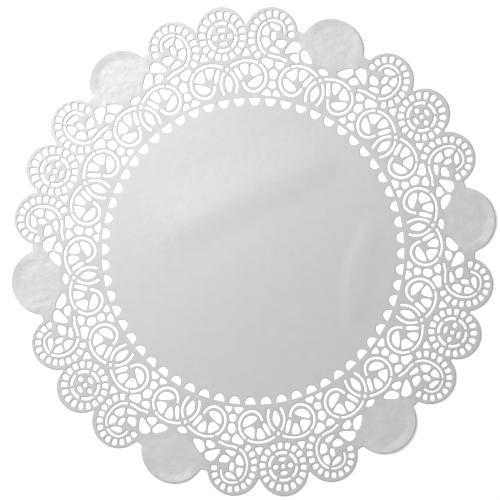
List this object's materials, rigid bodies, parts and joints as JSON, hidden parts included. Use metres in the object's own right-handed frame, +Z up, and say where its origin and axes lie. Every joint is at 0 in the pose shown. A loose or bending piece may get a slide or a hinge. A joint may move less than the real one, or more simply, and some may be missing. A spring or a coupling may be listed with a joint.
{
  "type": "paper doily",
  "caption": "Round, flat die-cut paper doily with a plain centre, a band of lace scrolls and a scalloped edge of solid petals, curls and rosettes.",
  "frame": {"origin": "centre of the sheet, on its underside", "axes": "+Z up out of the sheet's face; +X along the axis of one solid petal; +Y through the tip of a rosette"},
  "size_m": [0.3066, 0.3058, 0.001],
  "materials": {
    "satin_paper": "silver-grey satin-faced paper, lightly embossed"
  },
  "bodies": {
    "root": {"doily_sheet": "satin_paper"}
  },
  "joints": []
}
